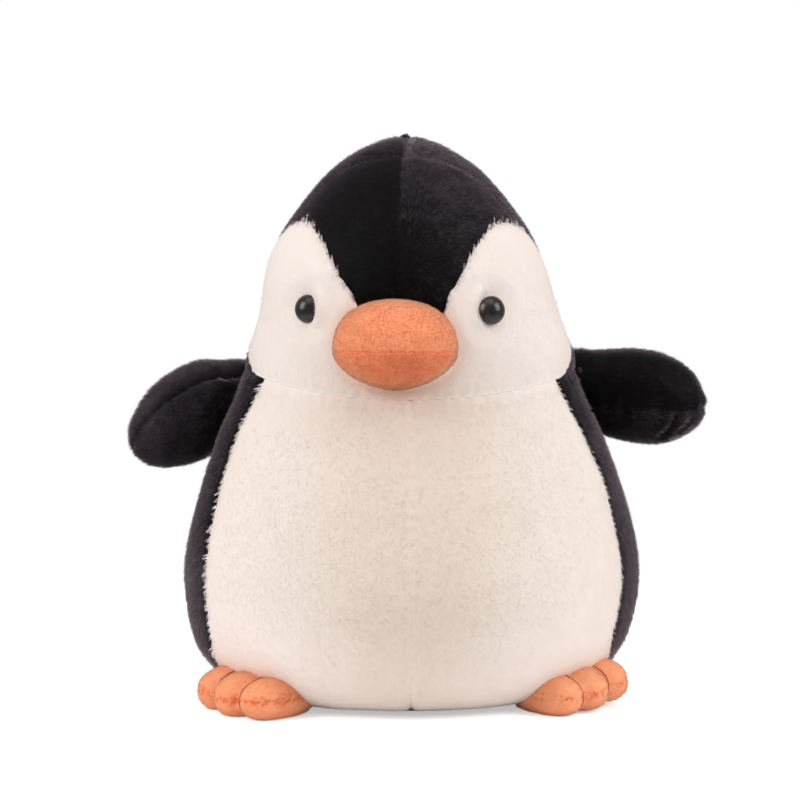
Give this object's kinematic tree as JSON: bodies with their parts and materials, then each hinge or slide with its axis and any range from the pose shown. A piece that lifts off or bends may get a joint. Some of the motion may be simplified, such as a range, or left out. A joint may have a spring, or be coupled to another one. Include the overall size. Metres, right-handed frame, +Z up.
{
  "type": "plush toy penguin",
  "caption": "Sitting black and white plush penguin with a stuffed orange beak, domed dark eyes, padded wings that flap on sewn roots and orange toed feet that flex under a flat oval base.",
  "frame": {"origin": "on the floor, under the middle of the flat oval base", "axes": "+Z up; the toy faces -Y; +X is the toy's own left"},
  "size_m": [0.2545, 0.1716, 0.244],
  "materials": {
    "black_plush": "short dense matte pile",
    "white_plush": "short dense fluffy pile",
    "orange_velour": "very short velour",
    "filling": "loose polyester fibre",
    "eye_plastic": "polished",
    "washer_plastic": "moulded",
    "black_thread": "sewing thread",
    "orange_thread": "sewing thread"
  },
  "bodies": {
    "trunk": {"forehead_panel_left": "black_plush", "forehead_panel_right": "black_plush", "head_back_panel_left": "black_plush", "head_back_panel_right": "black_plush", "back_panel_left": "black_plush", "back_panel_right": "black_plush", "base_panel": "black_plush", "cheek_panel_left": "white_plush", "cheek_panel_right": "white_plush", "belly_panel_left": "white_plush", "belly_panel_right": "white_plush", "beak_upper_panel": "orange_velour", "beak_lower_panel": "orange_velour", "body_stuffing": "filling", "beak_stuffing": "filling", "eye_left": "eye_plastic", "eye_right": "eye_plastic", "eye_washer_left": "washer_plastic", "eye_washer_right": "washer_plastic", "back_closing_thread": "black_thread", "wing_left_thread": "black_thread", "wing_right_thread": "black_thread", "foot_left_attachment_thread": "black_thread", "foot_right_attachment_thread": "black_thread", "beak_attachment_thread": "orange_thread"},
    "wing_left": {"wing_left_front_panel": "black_plush", "wing_left_back_panel": "black_plush", "wing_left_stuffing": "filling"},
    "foot_left": {"foot_left_upper_panel": "orange_velour", "foot_left_sole_panel": "orange_velour", "foot_left_stuffing": "filling", "foot_left_toe_threads": "orange_thread"},
    "wing_right": {"wing_right_front_panel": "black_plush", "wing_right_back_panel": "black_plush", "wing_right_stuffing": "filling"},
    "foot_right": {"foot_right_upper_panel": "orange_velour", "foot_right_sole_panel": "orange_velour", "foot_right_stuffing": "filling", "foot_right_toe_threads": "orange_thread"}
  },
  "joints": [
    {"name": "wing_left_flap", "type": "hinge", "parent": "trunk", "child": "wing_left", "pos_m": [0.09013, 0.00855, 0.13294], "axis": [-0.0698, -0.9976, 0], "range_deg": [-32, 45], "stiffness_Nm_per_rad": 0.03},
    {"name": "foot_left_flex", "type": "hinge", "parent": "trunk", "child": "foot_left", "pos_m": [0.047, -0.029, 0.001], "axis": [-0.6428, -0.766, 0], "range_deg": [-22, 0], "stiffness_Nm_per_rad": 0.02},
    {"name": "wing_right_flap", "type": "hinge", "parent": "trunk", "child": "wing_right", "pos_m": [-0.09013, 0.00855, 0.13294], "axis": [-0.3746, 0.9272, 0], "range_deg": [-10, 55], "stiffness_Nm_per_rad": 0.03},
    {"name": "foot_right_flex", "type": "hinge", "parent": "trunk", "child": "foot_right", "pos_m": [-0.047, -0.029, 0.001], "axis": [-0.6428, 0.766, 0], "range_deg": [-22, 0], "stiffness_Nm_per_rad": 0.02}
  ]
}
